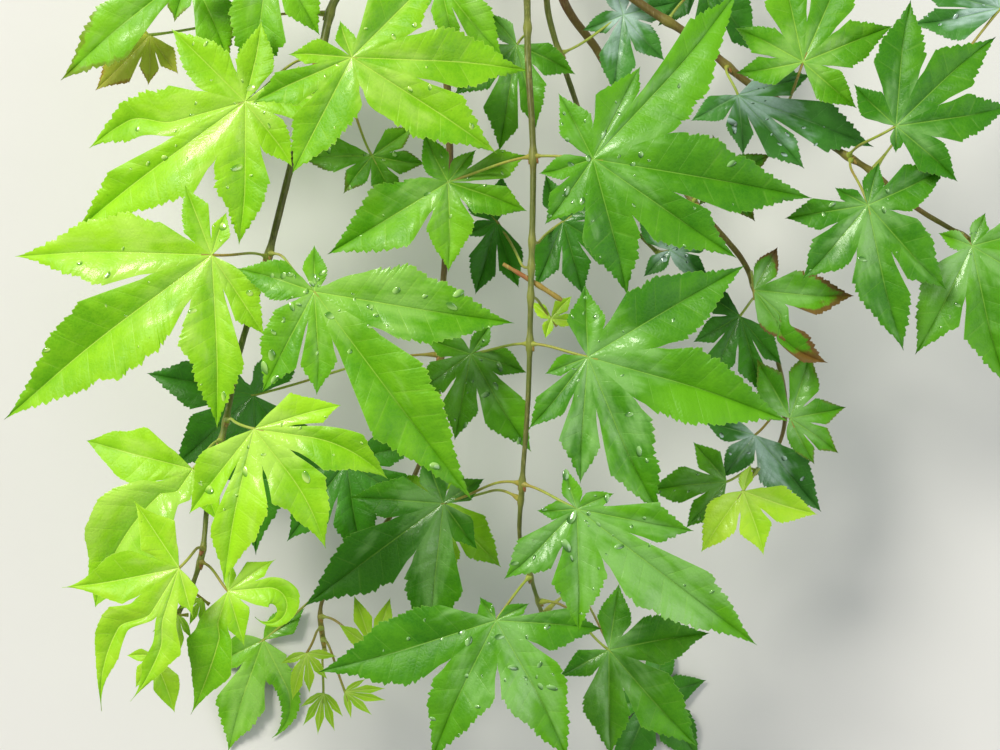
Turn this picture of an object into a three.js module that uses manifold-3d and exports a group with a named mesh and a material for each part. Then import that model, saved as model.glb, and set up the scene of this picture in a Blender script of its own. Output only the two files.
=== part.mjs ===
// A cut, leafy branch of Japanese maple: a main stem with hanging shoots that carry palmate
// leaves on long stalks. It lies on a flat surface, z = 0, with its leaves facing up.
// Units are millimetres. +X is right and +Y is towards the cut end, seen from above.
//
// Plan positions are given as an eye above the middle of the branch sees them, projected on
// the level MID_LEVEL. truePlace() turns such a place and its height into the real position.

import * as THREE from "three";
import Module from "manifold-3d";

const wasm = await Module();
wasm.setup();

// The eye that the plan positions are seen from, and the middle of the branch's box
const MID_LEVEL = 60;
const EYE_DISTANCE = 500;
const BOX_MIDDLE = [13.573, 42.799];

// A blade: its thickness, how far its margins stand above the midribs, as a share of a lobe's
// half width, and how fast its lobes droop, per millimetre of length squared
const LEAF_THICKNESS = 1.1;
const EDGE_RISE = 0.26;
const LOBE_BEND = 0.0017;

// A lobe's half width at LOBE_PEAK of its length is LOBE_HALF and a tenth of its length, and on a
// short lobe a quarter of its length. LOBE_RISE and LOBE_FALL bend its outline before and after.
const LOBE_PEAK = 0.48;
const LOBE_FALL = 1.5;
const LOBE_RISE = 1.08;
const LOBE_HALF = 5;
const LOBE_WIDENING = 0.1;
const LOBE_SLENDER = 0.25;

// The cut between two lobes goes SINUS_SHARE of their length deep. It is shallower where they
// stand further apart than WIDE_SPREAD, and opens to SLIT_SHARE of their width.
const SINUS_SHARE = 0.34;
const WIDE_SPREAD = THREE.MathUtils.degToRad(48);
const SHALLOWEST = 0.35;
const DEEPEST = 0.75;
const SLIT_SHARE = 0.1;
const SLIT_OPENING = 1.3;
const OUTER_SPREAD = THREE.MathUtils.degToRad(62);
const OUTER_DEPTH = 0.7;
const STALK_GAP_SHARE = 0.9;

// Where a lobe has its cross-sections, as shares of its free length
const LOBE_STATIONS = [0, 0.3, 0.66, 1];
const SMALL_LOBE_STATIONS = [0, 0.42, 1];
const SMALL_LOBE = 17;

// Leaf stalks sink into the blade's foot and end clear of the stem
const STALK_RADIUS = 0.65;
const STALK_SIDES = 4;
const STALK_STEPS = 5;
const STALK_SINK = 3;
const STALK_DEPTH = 0.8 * LEAF_THICKNESS;
const STALK_REACH = 0.35;
const CLEARANCE = 0.3;

// Stems
const STEM_SIDES = 8;
const STEM_STEP = 9;
const SHOOT_FOOT = 2;
const NEAREST_STEPS = 200;

const TINTS = {
  lime: 0x9fdc35,
  fresh: 0x7cc82a,
  mid: 0x4fa82a,
  deep: 0x2f7d22,
  young: 0xb6e04a,
  wet: 0x5f9a6a,
  old: 0xa8a03c,
  bark: 0x6f7a35,
  twig: 0x8f9440,
};

// Each stem: where it leaves its carrier, the places it passes, and its first and last radius
const STEMS = {
  main_stem: {
    tint: "bark",
    radii: [3.6, 2.7],
    places: [[1.5, 196, 3.164], [3.6, 172, 21], [5.4, 148, 43], [6.3, 130, 58]],
  },
  centre_shoot: {
    carrier: "main_stem",
    tint: "twig",
    radii: [1.6, 0.7],
    places: [
      [8.1, 112.5, 77], [8.4, 95, 86], [9.9, 67.5, 89], [9.3, 28.5, 90], [8.4, -7.5, 89],
      [6.6, -33, 88], [6, -49.5, 82], [9, -60, 77], [13, -73, 66],
    ],
  },
  left_shoot: {
    carrier: "main_stem",
    leaves: [5.7, 141],
    tint: "bark",
    radii: [1.7, 0.6],
    places: [
      [-20, 133, 57], [-42, 121, 64], [-49.5, 112.5, 66], [-53.4, 97.5, 68], [-63, 61.5, 64],
      [-70.5, 32, 66], [-78, 7.5, 70], [-82.5, -15, 80], [-87.3, -33.6, 80], [-89.7, -55, 88],
      [-96, -70.5, 88], [-103, -78, 86],
    ],
  },
  rear_shoot: {
    carrier: "main_stem",
    leaves: [4.2, 162],
    tint: "bark",
    radii: [1.5, 0.55],
    places: [
      [-8, 148, 36], [-15, 126, 36], [-16, 94.5, 34], [-15, 58, 30], [-17, 28, 28], [-19, -8, 28],
      [-27, -33, 30], [-43, -55.5, 32], [-53.4, -68, 34], [-52.5, -84, 36],
    ],
  },
  inner_shoot: {
    carrier: "main_stem",
    leaves: [6, 134],
    tint: "twig",
    radii: [1.1, 0.5],
    places: [[13, 118, 58], [15, 106, 56], [22.8, 81.9, 52], [30, 60, 46], [42, 42, 42], [48, 36, 40]],
  },
  right_rear_shoot: {
    carrier: "main_stem",
    leaves: [5, 155],
    tint: "bark",
    radii: [1.6, 0.55],
    places: [
      [15, 138, 42], [19, 112.5, 38], [29.4, 97, 34], [42, 73.5, 33], [60, 49.5, 36], [73, 34, 38],
      [76.8, 25, 38], [81.6, 10.5, 37], [85.5, -7.5, 38], [84, -20, 40], [76, -30, 44],
    ],
  },
  right_shoot: {
    carrier: "main_stem",
    leaves: [5.8, 146],
    tint: "bark",
    radii: [1.6, 0.6],
    places: [
      [22, 128, 54], [42, 111.5, 56], [58.5, 100.8, 56], [74, 88, 56], [82.5, 83, 57], [100, 68.4, 62],
      [111.6, 61, 63], [124, 50.7, 64], [143, 39.6, 64], [156, 33, 62],
    ],
  },
};

// Each leaf: root, the place on its stem; at, its own centre; level, the centre's height; and
// lobes, how far each lobe's tip lies from the centre, with a sideways bow as a third number.
// slope tilts the whole blade, web is its own share for the cuts between its lobes, and rests
// lowers it until it touches the surface below.
const LEAVES = {
  main_stem: [
    { tint: "mid", root: [4, 168], at: [-32, 160], level: 44,
      lobes: [[-34, 4], [-24, 24], [-2, 26], [-26, -18], [-4, -22]] },
    { tint: "mid", root: [4, 168], at: [38, 160], level: 42,
      lobes: [[36, 2], [26, 24], [2, 24], [24, -20], [2, -22]] },
  ],
  left_shoot: [
    { tint: "lime", root: [-54, 94], at: [-76.5, 82], level: 78, web: 0.4,
      lobes: [[-22, 22], [-47, -13], [-52, -38], [0, -43], [15, -19], [34, 4], [6, 24]] },
    { tint: "lime", root: [-70.3, 35], at: [-86.5, 36], level: 88, web: 0.26,
      lobes: [[4, 13], [-8, 21], [-59, 2], [-64, -47], [3, -52], [16, -24]] },
    { tint: "lime", root: [-53, 98], at: [-44.4, 95.3], level: 92, web: 0.38, slope: [-0.08, 0],
      lobes: [[-4, 11], [-19, 1.5], [-30, -13], [-18, -35], [44, -28], [53, -2], [26, 26]] },
    { tint: "fresh", root: [-69.5, 37], at: [-55.7, 25], level: 96, web: 0.27,
      lobes: [[0, 14], [60, -10], [47, -63], [2, -31], [-16, -30], [-23, 8]] },
    { tint: "fresh", root: [-54, 92], at: [-38.4, 65.7], level: 62,
      lobes: [[-22, 0], [-9, -11], [8, -15], [16, -3], [13, 9]] },
    { tint: "fresh", root: [-44, 119], at: [-69, 128], level: 72,
      lobes: [[-6, -44], [15, -26], [22, 20], [-4, 28], [-28, 16], [-30, -12]] },
    { tint: "fresh", root: [-46, 117], at: [-93, 121], level: 60,
      lobes: [[-40, -31], [-5, -15], [13, -27], [12, 24], [-14, 24], [-34, 2]] },
    { tint: "old", root: [-51, 108], at: [-105, 102], level: 48,
      lobes: [[-16, -17], [0, -15], [8, -12], [-12, 4]] },
    { tint: "lime", root: [-82.5, -14], at: [-73.8, -16.2], level: 103, web: 0.28,
      lobes: [[26, 8], [43, -6], [26, -33], [-11, -46], [-20, -25]] },
    { tint: "lime", root: [-84, -20], at: [-92.2, -28.2], level: 90.5,
      lobes: [[-32, 8], [-33, -24, -2], [-28, -39, -7], [8, -15]] },
    { tint: "young", root: [-89.5, -52], at: [-96.3, -57.9], level: 105,
      lobes: [[-14, 21], [-35, -7], [-20, -45, -8], [2, -16]] },
    { tint: "young", root: [-89.7, -56], at: [-81.6, -64.8], level: 96,
      lobes: [[14, 10], [1, 9], [23, -6], [14, -20], [-12, -37, 2]] },
    { tint: "young", root: [-102, -77], at: [-104, -84], level: 84,
      lobes: [[7, -17], [-5, -10], [-8, 0]] },
  ],
  rear_shoot: [
    { tint: "fresh", root: [-15, 127], at: [-18, 118], level: 74,
      lobes: [[18, -23], [4.5, -20], [-13, -9], [-16, 12], [2, 24], [22, 14]] },
    { tint: "deep", root: [-18, 6], at: [-74, -6], level: 44,
      lobes: [[-32, 7], [-24, -22], [2, -48], [20, -30], [14, 16]] },
    { tint: "deep", root: [-20, -14], at: [-46, -26], level: 54,
      lobes: [[-26, -6], [-18, -24], [4, -30], [24, -16], [22, 6]] },
    { tint: "mid", root: [-49, -63], at: [-71, -79.5], level: 60, rests: true,
      lobes: [[-12, -33], [6, -26], [-16, -8], [12, 10]] },
    { tint: "young", root: [-53.2, -73], at: [-38.4, -81.9], level: 58,
      lobes: [[-5, 16], [-10, 7], [6, 15], [10, 2]] },
    { tint: "young", root: [-53.2, -76], at: [-58, -83.4], level: 52,
      lobes: [[9, -1], [2, -11], [-5, -14], [-8, -3]] },
    { tint: "young", root: [-52.6, -83.6], at: [-53, -95.4], level: 44,
      lobes: [[-7, -5], [-5, -10], [-1, -11], [5, -10]] },
    { tint: "young", root: [-52.8, -79.5], at: [-46.5, -95], level: 54,
      lobes: [[7, 3], [12, -1], [9, -4], [7, -6], [0, -6]] },
  ],
  centre_shoot: [
    { tint: "mid", root: [8.4, 104], at: [5, 99], level: 64,
      lobes: [[-5, -32], [6, -25], [-19, -15], [18, -8], [-8, 10]] },
    { tint: "fresh", root: [9.9, 65.5], at: [-15.6, 57.9], level: 74,
      lobes: [[-36, -22], [1, -27], [24, -8], [24, 8], [8, 10], [-8, 15]] },
    { tint: "mid", root: [9.9, 66], at: [27.9, 64.8], level: 94, web: 0.42,
      lobes: [[-16, -5], [-14, -20], [11, -41], [43, -30], [66, -11], [46, 49], [14, 28], [-10, 20]] },
    { tint: "deep", root: [9.3, 32], at: [-1, 46], level: 50,
      lobes: [[-10, -4], [-6, -22], [6, -20], [-10, 10], [2, 14]] },
    { tint: "deep", root: [9.4, 40], at: [19, 46], level: 60,
      lobes: [[-8, -20], [6, -22], [20, -12], [16, 12], [-6, 14]] },
    { tint: "young", root: [9.3, 24], at: [15.3, 17], level: 76,
      lobes: [[-6, 5], [6, 7], [8, -1], [-2, -6]] },
    { tint: "deep", root: [8.7, 9.5], at: [-8.7, 6.3], level: 70,
      lobes: [[17, -5], [17, -30], [-5, -26], [-17, -12], [-15, 5], [6, 9]] },
    { tint: "mid", root: [8.7, 9], at: [26.4, 5.4], level: 97, web: 0.34,
      lobes: [[-1, 22], [47, 28], [61, -17], [20, -49], [-3, -38], [-17, -22], [-13, -5]] },
    { tint: "deep", root: [6.6, -33], at: [-17, -38.5], level: 66,
      lobes: [[10, -14], [-5, -44], [-42, -31], [-28, 2], [-6, 16], [12, 8]] },
    { tint: "lime", root: [6.4, -38], at: [-19, -37], level: 43,
      lobes: [[19, -21], [4, -26], [-14, -18], [-16, 6], [6, 14]] },
    { tint: "mid", root: [6.6, -33], at: [23.1, -40.2], level: 98, web: 0.33,
      lobes: [[-4, 12], [-12, -1], [-21, -22], [1, -37], [54, -41], [35, -7], [11, 5]] },
    { tint: "mid", root: [9, -60], at: [-1.2, -73.6], level: 86, web: 0.34,
      lobes: [[-5, 7], [-53, -17], [-21, -42], [24, -42], [32, -2], [10, 5]] },
    { tint: "mid", root: [11.5, -68], at: [32.7, -82.5], level: 58,
      lobes: [[3, 20], [30, 6], [26, -30], [0, -32], [-15, -8]] },
    { tint: "deep", root: [13, -72.5], at: [46, -96], level: 30, rests: true,
      lobes: [[16, 4], [14, -20], [-10, -24], [-18, -6], [4, 18]] },
  ],
  inner_shoot: [
    { tint: "wet", root: [18, 97], at: [37, 108], level: 48,
      lobes: [[-12, -5], [-3, -24], [12, -14], [16, 4], [-4, 14]] },
    { tint: "wet", root: [48, 36], at: [51, 37.5], level: 46,
      lobes: [[-10, 10], [-8, -8], [12, -8], [14, 4], [4, 12]] },
  ],
  right_rear_shoot: [
    { tint: "mid", root: [58, 52], at: [67.5, 60], level: 58,
      lobes: [[9, -14], [19, -5], [-8, -9], [14, 6], [-4, 12]] },
    { tint: "deep", root: [76.8, 24], at: [72, 17.7], level: 56,
      lobes: [[7, -24], [-9, -20], [-14, -8], [12, -15], [-12, 8]] },
    { tint: "mid", root: [76, 27], at: [76.2, 25.5], level: 72,
      lobes: [[12, -17], [23, -21, -5], [30, -3], [7, 13]] },
    { tint: "mid", root: [85.8, -10], at: [87, -13], level: 58,
      lobes: [[7, 21], [-10, 18], [17, 3], [15, -10], [7, -14]] },
    { tint: "wet", root: [85.6, -11], at: [76.5, -18], level: 50,
      lobes: [[20, -23], [-10, -13], [-16, 4]] },
    { tint: "young", root: [76, -30], at: [72.9, -34.8], level: 66,
      lobes: [[22, -8], [7, -19], [-13, -18], [2, 8]] },
    { tint: "deep", root: [77, -29], at: [68, -32], level: 52,
      lobes: [[-24, -2], [-12, -14], [-10, 12]] },
  ],
  right_shoot: [
    { tint: "deep", root: [50, 106], at: [61, 119], level: 40,
      lobes: [[4, -20], [16, -22], [-14, -14], [-12, 14], [8, 20], [24, 6]] },
    { tint: "wet", root: [68, 93], at: [71.4, 84], level: 66, web: 0.31,
      lobes: [[41, -15], [20, -22], [2, -18], [-14, -8], [22, 6]] },
    { tint: "fresh", root: [86, 80], at: [90.9, 93.9], level: 80, web: 0.36,
      lobes: [[-20, 11], [-20, -4], [-7, 32], [14, 32], [27, 11], [16, -14]] },
    { tint: "mid", root: [105, 66], at: [118.8, 74.7], level: 86, web: 0.38,
      lobes: [[3, 38], [29, 28], [35, 5], [19, -16], [0, -8], [-13, 12]] },
    { tint: "mid", root: [106, 65.5], at: [110.4, 51], level: 82, web: 0.38,
      lobes: [[3, 13], [25, 11], [23, -26], [9, -44], [-19, -23], [-25, -4], [-10, 5]] },
    { tint: "wet", root: [112, 61], at: [150, 110], level: 60,
      lobes: [[-26, -6], [-24, 6], [-4, 22], [22, 14], [20, -12]] },
    { tint: "mid", root: [138, 42.5], at: [141.6, 38.7], level: 74, web: 0.36,
      lobes: [[9, -43], [-16, -33], [-10, 4], [4, 10], [30, 8], [34, -20]] },
  ],
};

// The real position of a place that is seen at x, y and lies at height z
function truePlace(x, y, z) {
  const share = 1 - (z - MID_LEVEL) / EYE_DISTANCE;
  return new THREE.Vector3(x * share, y * share, z);
}

function wrapped(angle) {
  return THREE.MathUtils.euclideanModulo(angle, 2 * Math.PI);
}

function geometryOf(points, faces) {
  const geometry = new THREE.BufferGeometry();
  geometry.setAttribute("position", new THREE.Float32BufferAttribute(points, 3));
  geometry.setIndex(faces);
  return geometry;
}

function solidOf(geometry) {
  return new wasm.Manifold(
    new wasm.Mesh({
      numProp: 3,
      vertProperties: new Float32Array(geometry.attributes.position.array),
      triVerts: new Uint32Array(geometry.index.array),
    }),
  );
}

function fused(first, second) {
  const mesh = solidOf(first).add(solidOf(second)).getMesh();
  return geometryOf(Array.from(mesh.vertProperties), Array.from(mesh.triVerts));
}

// A closed round limb along a curve, tapering evenly from one radius to the other
function limb(curve, radii, sides, steps) {
  const points = [];
  const faces = [];
  const frames = curve.computeFrenetFrames(steps, false);
  const lastRing = steps * sides;
  for (let step = 0; step <= steps; step += 1) {
    const middle = curve.getPointAt(step / steps);
    const radius = THREE.MathUtils.lerp(radii[0], radii[1], step / steps);
    for (let side = 0; side < sides; side += 1) {
      const turn = (2 * Math.PI * side) / sides;
      const out = frames.normals[step].clone().multiplyScalar(Math.cos(turn) * radius);
      out.addScaledVector(frames.binormals[step], Math.sin(turn) * radius);
      points.push(...middle.clone().add(out));
    }
  }
  for (let ring = 0; ring < lastRing; ring += sides) {
    for (let side = 0; side < sides; side += 1) {
      const here = ring + side;
      const next = ring + ((side + 1) % sides);
      faces.push(here, next, next + sides, here, next + sides, here + sides);
    }
  }
  for (let side = 1; side < sides - 1; side += 1) {
    faces.push(0, side + 1, side);
    faces.push(lastRing, lastRing + side, lastRing + side + 1);
  }
  return geometryOf(points, faces);
}

// The point on a stem nearest to a seen place, with the stem's radius and direction there
function placeOnStem(stem, [x, y]) {
  let best = { distance: Infinity };
  for (let step = 0; step <= NEAREST_STEPS; step += 1) {
    const share = step / NEAREST_STEPS;
    const point = stem.curve.getPointAt(share);
    const distance = truePlace(x, y, point.z).distanceTo(point);
    if (distance < best.distance) {
      best = { distance, point, share };
    }
  }
  best.radius = THREE.MathUtils.lerp(stem.radii[0], stem.radii[1], best.share);
  best.along = stem.curve.getTangentAt(best.share);
  return best;
}

// Where something that grows towards a target starts, clear of the stem's surface
function rootOnStem(stem, place, target) {
  const spot = placeOnStem(stem, place);
  const out = target.clone().sub(spot.point);
  out.addScaledVector(spot.along, -out.dot(spot.along)).normalize();
  return { out, point: spot.point.clone().addScaledVector(out, spot.radius + CLEARANCE) };
}

// A stem's centre line, from its carrier's surface or tip through its places
function stemCurve(stem, stems) {
  const points = stem.places.map((place) => truePlace(...place));
  if (stem.carrier) {
    const carrier = stems[stem.carrier];
    if (stem.leaves) {
      const root = rootOnStem(carrier, stem.leaves, points[0]);
      points.unshift(root.point, root.point.clone().addScaledVector(root.out, SHOOT_FOOT));
    } else {
      const end = carrier.curve.getPointAt(1);
      points.unshift(end.addScaledVector(carrier.curve.getTangentAt(1), CLEARANCE));
    }
  }
  return new THREE.CatmullRomCurve3(points, false, "centripetal");
}

// The lobes of a leaf in order round its centre, starting beside the stalk
function lobesOf(leaf) {
  const stalk = Math.atan2(leaf.root[1] - leaf.at[1], leaf.root[0] - leaf.at[0]);
  const lobes = leaf.lobes.map(([x, y, bow = 0]) => {
    const length = Math.hypot(x, y);
    const angle = Math.atan2(y, x);
    const half = Math.min(LOBE_HALF + LOBE_WIDENING * length, LOBE_SLENDER * length);
    return { turn: wrapped(angle - stalk), angle, length, half, bow };
  });
  lobes.sort((a, b) => a.turn - b.turn);
  return lobes;
}

// How far apart two neighbouring lobes stand, and how deep the cut between them goes
function sinusBetween(leaf, lobe, next) {
  const spread = next.turn - lobe.turn;
  const mean = (lobe.length + next.length) / 2;
  const opening = Math.tan(WIDE_SPREAD / 2) / Math.tan(spread / 2);
  const share = (leaf.web ?? SINUS_SHARE) * THREE.MathUtils.clamp(opening, SHALLOWEST, 1);
  const depth = Math.min(share * mean, DEEPEST * Math.min(lobe.length, next.length));
  return { spread, depth };
}

// The cut beside the first or last lobe, where the blade ends at the stalk
function outerSinus(lobes, lobe) {
  const gap = 2 * Math.PI - (lobes[lobes.length - 1].turn - lobes[0].turn);
  const spread = Math.min(OUTER_SPREAD, STALK_GAP_SHARE * gap);
  return { spread, depth: SINUS_SHARE * OUTER_DEPTH * lobe.length };
}

// How far along a lobe the cut beside it begins
function sinusStart(sinus) {
  return sinus.depth * Math.cos(sinus.spread / 2);
}

// Half the width of a lobe on one side, at a distance along it
function halfWidth(lobe, sinus, along) {
  const share = along / lobe.length;
  const rise = (share / LOBE_PEAK) ** LOBE_RISE;
  const own = lobe.half * rise * ((1 - share) / (1 - LOBE_PEAK)) ** LOBE_FALL;
  const sector = along * Math.tan(sinus.spread / 2);
  const start = sinusStart(sinus);
  const free = THREE.MathUtils.smoothstep(along, start, start * SLIT_OPENING);
  return Math.min(own, sector * (1 - SLIT_SHARE * free));
}

// A place on the blade: along the lobe, and across it as a share of the half width
function bladePlace(leaf, lobe, along, half, across) {
  const share = along / lobe.length;
  const side = half * across + lobe.bow * 4 * share * (1 - share);
  const dx = Math.cos(lobe.angle) * along - Math.sin(lobe.angle) * side;
  const dy = Math.sin(lobe.angle) * along + Math.cos(lobe.angle) * side;
  const slope = leaf.slope ?? [0, 0];
  const tilt = slope[0] * dx + slope[1] * dy;
  const lift = EDGE_RISE * half * Math.sin(Math.abs(across) * (Math.PI / 2));
  const level = leaf.level + tilt + lift - LOBE_BEND * along * along;
  return [leaf.at[0] + dx, leaf.at[1] + dy, level];
}

// The blade as one closed sheet: a centre, and for each lobe a midrib and its two margins
function blade(leaf) {
  const seen = [[leaf.at[0], leaf.at[1], leaf.level]];
  const faces = [];
  const rim = [0];
  const add = (place) => seen.push(place) - 1;
  const lobes = lobesOf(leaf);
  let shared = null;
  lobes.forEach((lobe, index) => {
    const right = index === 0 ? outerSinus(lobes, lobe) : sinusBetween(leaf, lobes[index - 1], lobe);
    const last = index === lobes.length - 1;
    const left = last ? outerSinus(lobes, lobe) : sinusBetween(leaf, lobe, lobes[index + 1]);
    const base = { right: sinusStart(right), left: sinusStart(left) };
    const middle = (base.right + base.left) / 2;
    const mids = [];
    const rights = [];
    const lefts = [];
    const stations = lobe.length < SMALL_LOBE ? SMALL_LOBE_STATIONS : LOBE_STATIONS;
    stations.forEach((station, count) => {
      const along = THREE.MathUtils.lerp(middle, lobe.length, station);
      mids.push(add(bladePlace(leaf, lobe, along, 0, 0)));
      if (station === 1) {
        return;
      }
      const rightAlong = THREE.MathUtils.lerp(base.right, lobe.length, station);
      const leftAlong = THREE.MathUtils.lerp(base.left, lobe.length, station);
      const rightHalf = halfWidth(lobe, right, rightAlong);
      const leftHalf = halfWidth(lobe, left, leftAlong);
      const reused = count === 0 && shared !== null;
      rights.push(reused ? shared : add(bladePlace(leaf, lobe, rightAlong, rightHalf, -1)));
      lefts.push(add(bladePlace(leaf, lobe, leftAlong, leftHalf, 1)));
    });
    faces.push(0, rights[0], mids[0], 0, mids[0], lefts[0]);
    for (let k = 0; k < rights.length - 1; k += 1) {
      faces.push(mids[k], rights[k], rights[k + 1], mids[k], rights[k + 1], mids[k + 1]);
      faces.push(mids[k], mids[k + 1], lefts[k + 1], mids[k], lefts[k + 1], lefts[k]);
    }
    const end = rights.length - 1;
    const tip = mids[end + 1];
    faces.push(mids[end], rights[end], tip, mids[end], tip, lefts[end]);
    rim.push(...(shared === null ? rights : rights.slice(1)), tip, ...lefts.reverse());
    shared = last ? null : lefts[lefts.length - 1];
  });
  const count = seen.length;
  const points = [];
  for (const drop of [0, LEAF_THICKNESS]) {
    for (const [x, y, z] of seen) {
      points.push(...truePlace(x, y, z - drop));
    }
  }
  const all = faces.slice();
  for (let k = 0; k < faces.length; k += 3) {
    all.push(faces[k] + count, faces[k + 2] + count, faces[k + 1] + count);
  }
  rim.forEach((a, k) => {
    const b = rim[(k + 1) % rim.length];
    all.push(a + count, b + count, b, a + count, b, a);
  });
  return geometryOf(points, all);
}

// The stalk, from inside the blade's foot to the stem's surface
function stalk(leaf, stem) {
  const [x, y] = leaf.at;
  const slope = leaf.slope ?? [0, 0];
  const level = leaf.level - STALK_DEPTH;
  const sink = new THREE.Vector2(x - leaf.root[0], y - leaf.root[1]).setLength(STALK_SINK);
  const inside = truePlace(x + sink.x, y + sink.y, level + slope[0] * sink.x + slope[1] * sink.y);
  const foot = truePlace(x, y, level);
  const { point, out } = rootOnStem(stem, leaf.root, foot);
  const reach = foot.distanceTo(point) * STALK_REACH;
  const back = foot.clone().sub(inside).normalize();
  const curve = new THREE.CurvePath();
  curve.add(new THREE.LineCurve3(inside, foot));
  curve.add(
    new THREE.CubicBezierCurve3(
      foot,
      foot.clone().addScaledVector(back, reach),
      point.clone().addScaledVector(out, reach),
      point,
    ),
  );
  const line = new THREE.CatmullRomCurve3(curve.getSpacedPoints(STALK_STEPS + 2), false, "centripetal");
  return limb(line, [STALK_RADIUS, STALK_RADIUS], STALK_SIDES, STALK_STEPS);
}

// Lowers a leaf until the lowest point of its blade touches the surface below
function settled(leaf) {
  if (!leaf.rests) {
    return leaf;
  }
  const geometry = blade(leaf);
  geometry.computeBoundingBox();
  return { ...leaf, level: leaf.level - geometry.boundingBox.min.z };
}

function part(name, geometry, tint) {
  const material = new THREE.MeshStandardMaterial({ color: TINTS[tint], roughness: 0.5, metalness: 0 });
  const mesh = new THREE.Mesh(geometry, material);
  mesh.name = name;
  return mesh;
}

function stemPart(name, stem) {
  const steps = Math.ceil(stem.curve.getLength() / STEM_STEP);
  return part(name, limb(stem.curve, stem.radii, STEM_SIDES, steps), stem.tint);
}

function leafPart(name, leaf, stem) {
  const placed = settled(leaf);
  return part(name, fused(blade(placed), stalk(placed, stem)), leaf.tint);
}

function branch() {
  const group = new THREE.Group();
  const stems = {};
  for (const [name, stem] of Object.entries(STEMS)) {
    stems[name] = { ...stem, curve: stemCurve(stem, stems) };
    group.add(stemPart(name, stems[name]));
  }
  for (const [stemName, leaves] of Object.entries(LEAVES)) {
    leaves.forEach((leaf, index) => {
      const name = `${stemName.replace(/_(shoot|stem)$/, "")}_leaf_${index + 1}`;
      group.add(leafPart(name, leaf, stems[stemName]));
    });
  }
  group.position.set(-BOX_MIDDLE[0], -BOX_MIDDLE[1], 0);
  return group;
}

const group = branch();

export default group;
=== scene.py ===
# A cut, leafy branch of Japanese maple, lying on a pale floor and seen from straight above.
# Lengths in the dictionaries are millimetres, but the studio's are metres, as every mesh is.
import bpy, bmesh, math, random
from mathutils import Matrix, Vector, noise
from mathutils.bvhtree import BVHTree


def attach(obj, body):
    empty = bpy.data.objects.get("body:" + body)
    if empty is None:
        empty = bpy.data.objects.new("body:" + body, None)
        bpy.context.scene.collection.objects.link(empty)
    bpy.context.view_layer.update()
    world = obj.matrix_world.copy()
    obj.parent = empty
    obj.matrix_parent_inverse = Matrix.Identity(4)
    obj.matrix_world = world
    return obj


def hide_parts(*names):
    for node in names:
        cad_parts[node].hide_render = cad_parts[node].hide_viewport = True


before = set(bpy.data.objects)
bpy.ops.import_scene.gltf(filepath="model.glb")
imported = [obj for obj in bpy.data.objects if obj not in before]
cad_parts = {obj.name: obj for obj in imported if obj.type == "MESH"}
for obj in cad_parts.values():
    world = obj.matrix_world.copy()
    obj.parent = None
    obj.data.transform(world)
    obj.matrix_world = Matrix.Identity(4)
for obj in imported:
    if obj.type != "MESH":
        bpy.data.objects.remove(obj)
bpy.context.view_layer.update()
mm = 0.001
mergeDistance = 0.002 * mm

# Plan places are given as an eye above the branch sees them, projected on midLevel
view = {
    "boxMiddle": (13.573, 42.799),
    "midLevel": 60,
    "eyeDistance": 500,
    "pictureWidth": 300,
    "sensor": 36,
    "clipStart": 0.01,
}


def truePlace(x, y, z):
    share = 1 - (z - view["midLevel"]) / view["eyeDistance"]
    middleX, middleY = view["boxMiddle"]
    return Vector((x * share - middleX, y * share - middleY, z)) * mm


def between(low, value, high):
    return max(low, min(value, high))


def blend(start, end, share):
    return start + (end - start) * share


def smooth(start, end, value):
    share = between(0, (value - start) / (end - start), 1)
    return share * share * (3 - 2 * share)


def stemOf(tint, radii, *places, leaves=None):
    return {"tint": tint, "radii": radii, "places": places, "leaves": leaves}


# Each stem: its tint, its first and last radius, the places it passes, and where it leaves the
# main stem, if not at its end
stems = {
    "main_stem": stemOf("bark", (3.6, 2.7), (1.5, 196, 3.164), (3.6, 172, 21), (5.4, 148, 43),
        (6.3, 130, 58)),
    "centre_shoot": stemOf("twig", (1.08, 0.56), (8.1, 112.5, 77), (8.4, 95, 86), (9.9, 67.5, 89),
        (9.3, 28.5, 90), (8.4, -7.5, 89), (6.6, -33, 88), (6, -49.5, 82), (9, -60, 77), (13, -73, 66)),
    "left_shoot": stemOf("twig", (1.5, 0.6), (-20, 133, 57), (-42, 121, 64), (-49.5, 112.5, 66),
        (-53.4, 97.5, 68), (-63, 61.5, 64), (-70.5, 32, 66), (-78, 7.5, 70), (-82.5, -15, 80),
        (-87.3, -33.6, 80), (-89.7, -55, 88), (-96, -70.5, 88), (-103, -78, 86), leaves=(5.7, 141)),
    "rear_shoot": stemOf("bark", (1.5, 0.55), (-8, 148, 36), (-15, 126, 36), (-16, 94.5, 34), (-15, 58, 30),
        (-17, 28, 28), (-19, -8, 28), (-27, -33, 30), (-43, -55.5, 32), (-53.4, -68, 34), (-52.5, -84, 36),
        leaves=(4.2, 162)),
    "inner_shoot": stemOf("twig", (1.1, 0.5), (13, 118, 58), (15, 106, 56), (22.8, 81.9, 52), (30, 60, 46),
        (42, 42, 42), (48, 36, 40), leaves=(6, 134)),
    "right_rear_shoot": stemOf("bark", (1.6, 0.55), (15, 138, 42), (19, 112.5, 38), (29.4, 97, 34),
        (42, 73.5, 33), (60, 49.5, 36), (73, 34, 38), (76.8, 25, 38), (81.6, 10.5, 37), (85.5, -7.5, 38),
        (84, -20, 40), (76, -30, 44), leaves=(5, 155)),
    "right_shoot": stemOf("bark", (1.6, 0.6), (22, 128, 54), (42, 111.5, 56), (58.5, 100.8, 56), (74, 88, 56),
        (82.5, 83, 57), (100, 68.4, 62), (111.6, 61, 63), (124, 50.7, 64), (143, 39.6, 64), (156, 33, 62),
        leaves=(5.8, 146)),
}

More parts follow.
